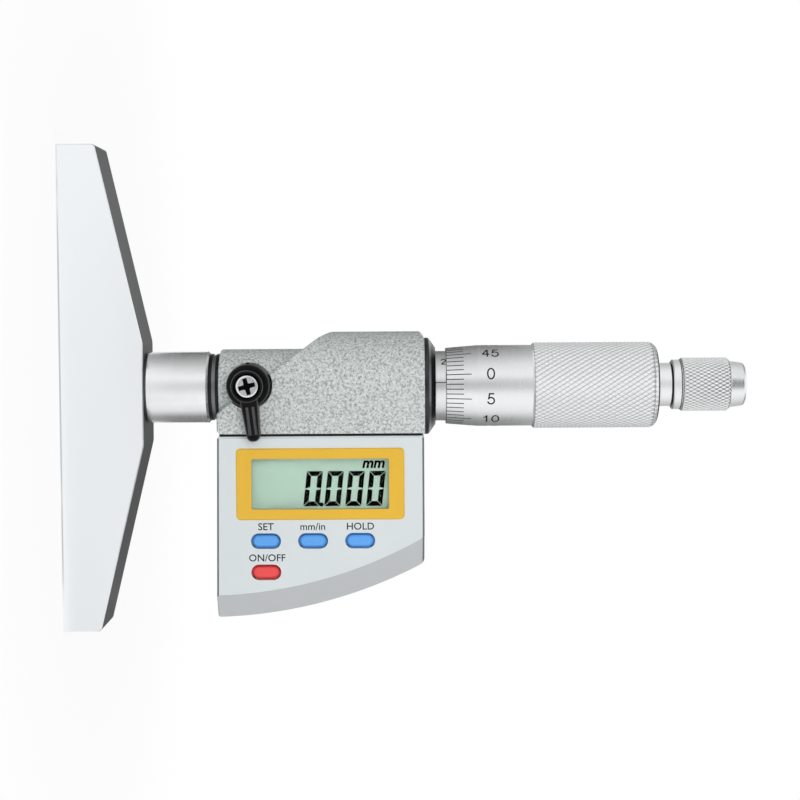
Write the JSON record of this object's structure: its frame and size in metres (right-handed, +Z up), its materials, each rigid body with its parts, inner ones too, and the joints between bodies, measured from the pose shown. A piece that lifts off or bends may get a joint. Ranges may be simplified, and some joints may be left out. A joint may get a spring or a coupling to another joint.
{
  "type": "depth micrometer",
  "caption": "Digital depth micrometer: flat steel base, graduated thimble with ratchet stop, spindle lock lever and a side housing with display and push buttons.",
  "frame": {"origin": "centre of the base's flat measuring face, on the spindle axis", "axes": "+Z up the spindle axis from the base to the ratchet stop, +X along the base on the side of the display housing, -Y the front where the display is read"},
  "size_m": [0.1, 0.0276, 0.1416],
  "materials": {
    "base_steel": "finely ground",
    "bright_steel": "polished",
    "tool_steel": "ground",
    "satin_chrome": "satin",
    "black_rubber": "matte",
    "frame_paint": "hammered",
    "black_plastic": "semi-gloss",
    "brass": "machined",
    "housing_plastic": "semi-gloss",
    "bezel_yellow": "semi-gloss",
    "clear_window": "clear",
    "lcd_glass": "smooth",
    "board_green": "matte",
    "button_blue": "matte",
    "button_red": "matte",
    "cell_steel": "satin"
  },
  "bodies": {
    "frame": {"base": "base_steel", "stem": "bright_steel", "stem_seal": "black_rubber", "frame": "frame_paint", "rear_collar": "black_plastic", "inner_sleeve": "tool_steel", "sleeve": "satin_chrome", "adjusting_nut": "brass", "encoder_stator": "board_green", "encoder_cable": "brass", "housing_front": "housing_plastic", "housing_rear": "housing_plastic", "housing_gasket": "black_rubber", "frame_screws": "tool_steel", "cover_screws": "tool_steel", "display_bezel": "bezel_yellow", "display_window": "clear_window", "lcd_panel": "lcd_glass", "zebra_strips": "black_rubber", "circuit_board": "board_green", "button_pad": "black_rubber", "battery": "cell_steel", "battery_contact": "brass", "battery_cap": "housing_plastic", "battery_seal": "black_rubber", "lock_shoe": "brass"},
    "rotor": {"encoder_rotor": "board_green", "rotor_key": "tool_steel"},
    "thimble": {"spindle": "tool_steel", "thimble": "satin_chrome", "ratchet_shaft": "tool_steel", "ratchet_wheel": "tool_steel", "ratchet_screw": "tool_steel"},
    "ratchet": {"ratchet_knob": "satin_chrome", "pawl_spring": "tool_steel"},
    "lock": {"lock_lever": "black_plastic", "lock_screw": "bright_steel", "lock_pin": "tool_steel"},
    "origin_button": {"origin_button": "button_blue"},
    "unit_button": {"unit_button": "button_blue"},
    "hold_button": {"hold_button": "button_blue"},
    "power_button": {"power_button": "button_red"}
  },
  "joints": [
    {"name": "thimble_turn", "type": "hinge", "parent": "frame", "child": "rotor", "pos_m": [0, 0, 0.06], "axis": [0, 0, 1], "range_deg": [0, 18000]},
    {"name": "spindle_travel", "type": "slide", "parent": "rotor", "child": "thimble", "axis": [0, 0, 1], "range_m": [0, 0.025]},
    {"name": "ratchet_turn", "type": "hinge", "parent": "thimble", "child": "ratchet", "pos_m": [0, 0, 0.133], "axis": [0, 0, 1], "continuous": true},
    {"name": "lock_turn", "type": "hinge", "parent": "frame", "child": "lock", "pos_m": [-0.0008, -0.012, 0.0391], "axis": [0, 1, 0], "range_deg": [0, 70]},
    {"name": "origin_press", "type": "slide", "parent": "frame", "child": "origin_button", "axis": [0, 1, 0], "range_m": [0, 0.0004], "stiffness_N_per_m": 2000},
    {"name": "unit_press", "type": "slide", "parent": "frame", "child": "unit_button", "axis": [0, 1, 0], "range_m": [0, 0.0004], "stiffness_N_per_m": 2000},
    {"name": "hold_press", "type": "slide", "parent": "frame", "child": "hold_button", "axis": [0, 1, 0], "range_m": [0, 0.0004], "stiffness_N_per_m": 2000},
    {"name": "power_press", "type": "slide", "parent": "frame", "child": "power_button", "axis": [0, 1, 0], "range_m": [0, 0.0004], "stiffness_N_per_m": 2000}
  ],
  "couplings": [
    {"joint": "thimble_turn", "follows": "spindle_travel", "rad_per_m": 12566}
  ]
}
